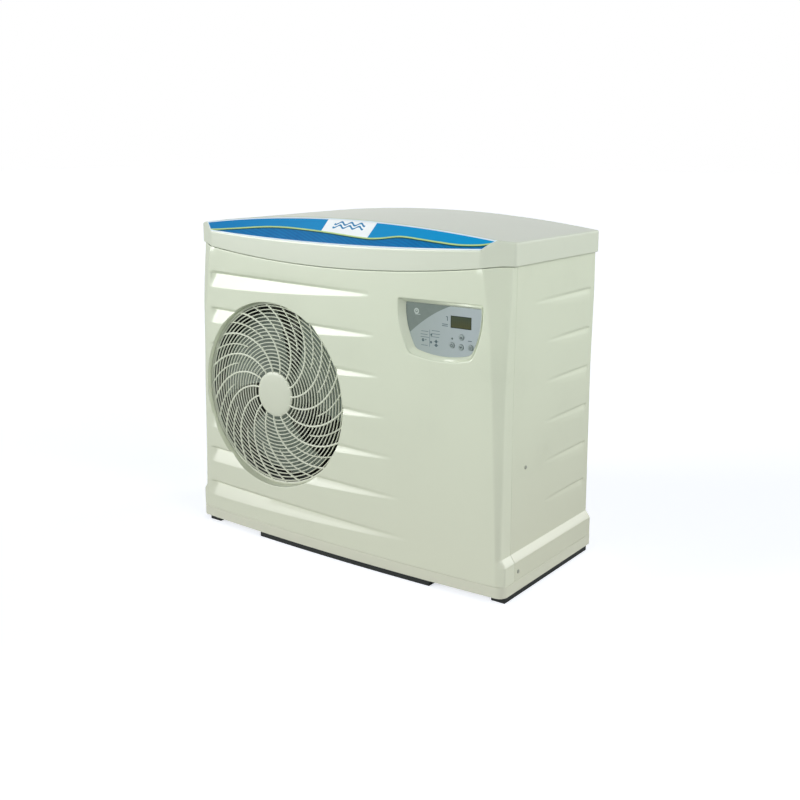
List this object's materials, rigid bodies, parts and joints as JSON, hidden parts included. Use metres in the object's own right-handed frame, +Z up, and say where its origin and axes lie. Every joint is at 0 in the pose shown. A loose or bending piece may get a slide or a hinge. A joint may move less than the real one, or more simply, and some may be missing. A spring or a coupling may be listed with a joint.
{
  "type": "pool heat pump unit",
  "caption": "Free-standing cabinet heat pump with a round axial fan grille, arched lid, recessed control panel and rear water connections.",
  "frame": {"origin": "middle of the bounding box, on the ground under the rubber strips", "axes": "+X to the right across the front, along the longest side; +Y from the front to the rear, along the shortest side; +Z up"},
  "size_m": [1.0046, 0.507, 0.88],
  "materials": {
    "cream_casing": "fine satin mould texture",
    "lid_cream": "fine satin mould texture",
    "strip_rubber": "matt black",
    "printed_film": "printed blue film, semi-gloss",
    "panel_film": "printed grey film, satin",
    "key_grey": "satin",
    "screen": "clear gloss over olive display",
    "board": "solder mask",
    "fan_plastic": "grey-green moulded",
    "zinc_steel": "galvanised",
    "coil_aluminium": "fin pack",
    "can_aluminium": "drawn can",
    "black_enamel": "black enamel",
    "copper": "drawn copper tube, lightly tarnished",
    "grey_pvc": "grey pressure pipe plastic",
    "black_plastic": "moulded black"
  },
  "bodies": {
    "cabinet": {"base_tray": "cream_casing", "front_panel": "cream_casing", "side_panel_left": "cream_casing", "side_panel_right": "cream_casing", "fan_grille": "cream_casing", "rear_panel": "cream_casing", "coil_guard": "cream_casing", "control_housing": "cream_casing", "lid": "lid_cream", "foot_strip_left": "strip_rubber", "foot_strip_right": "strip_rubber", "foot_strip_front": "strip_rubber", "compressor_grommet_1": "strip_rubber", "compressor_grommet_2": "strip_rubber", "compressor_grommet_3": "strip_rubber", "lid_label": "printed_film", "control_overlay": "panel_film", "display_window": "screen", "controller_board": "board", "fan_orifice": "fan_plastic", "partition_panel": "zinc_steel", "motor_plate": "zinc_steel", "motor_rail_left": "zinc_steel", "motor_rail_right": "zinc_steel", "electrical_box": "zinc_steel", "electrical_box_cover": "zinc_steel", "side_screw_left": "zinc_steel", "side_screw_right": "zinc_steel", "base_screw_left": "zinc_steel", "base_screw_right": "zinc_steel", "evaporator_coil": "coil_aluminium", "run_capacitor": "can_aluminium", "fan_motor": "black_enamel", "compressor": "black_enamel", "suction_accumulator": "black_enamel", "reversing_valve": "copper", "discharge_pipe": "copper", "suction_pipe": "copper", "gas_pipe": "copper", "liquid_pipe": "copper", "filter_drier": "copper", "water_inlet_pipe": "grey_pvc", "water_outlet_pipe": "grey_pvc", "heat_exchanger_shell": "grey_pvc", "heat_exchanger_cap": "grey_pvc", "drain_spout": "grey_pvc", "cable_gland": "black_plastic", "flow_switch": "black_plastic", "compressor_terminal_cover": "black_plastic", "contactor": "black_plastic", "terminal_block": "black_plastic"},
    "fan": {"fan_propeller": "fan_plastic", "fan_nut": "zinc_steel", "motor_shaft": "zinc_steel"},
    "key_1": {"control_key_1": "key_grey"},
    "key_2": {"control_key_2": "key_grey"},
    "key_3": {"control_key_3": "key_grey"},
    "key_4": {"control_key_4": "key_grey"},
    "union_inlet": {"union_nut_inlet": "black_plastic"},
    "union_outlet": {"union_nut_outlet": "black_plastic"}
  },
  "joints": [
    {"name": "fan_spin", "type": "hinge", "parent": "cabinet", "child": "fan", "pos_m": [-0.213, -0.1865, 0.404], "axis": [0, 1, 0], "continuous": true},
    {"name": "key_1_press", "type": "slide", "parent": "cabinet", "child": "key_1", "axis": [0, 1, 0], "range_m": [0, 0.001], "stiffness_N_per_m": 300},
    {"name": "key_2_press", "type": "slide", "parent": "cabinet", "child": "key_2", "axis": [0, 1, 0], "range_m": [0, 0.001], "stiffness_N_per_m": 300},
    {"name": "key_3_press", "type": "slide", "parent": "cabinet", "child": "key_3", "axis": [0, 1, 0], "range_m": [0, 0.001], "stiffness_N_per_m": 300},
    {"name": "key_4_press", "type": "slide", "parent": "cabinet", "child": "key_4", "axis": [0, 1, 0], "range_m": [0, 0.001], "stiffness_N_per_m": 300},
    {"name": "union_inlet_turn", "type": "hinge", "parent": "cabinet", "child": "union_inlet", "pos_m": [0.19, 0.2235, 0.118], "axis": [0, 1, 0], "continuous": true},
    {"name": "union_outlet_turn", "type": "hinge", "parent": "cabinet", "child": "union_outlet", "pos_m": [0.19, 0.2235, 0.368], "axis": [0, 1, 0], "continuous": true}
  ]
}
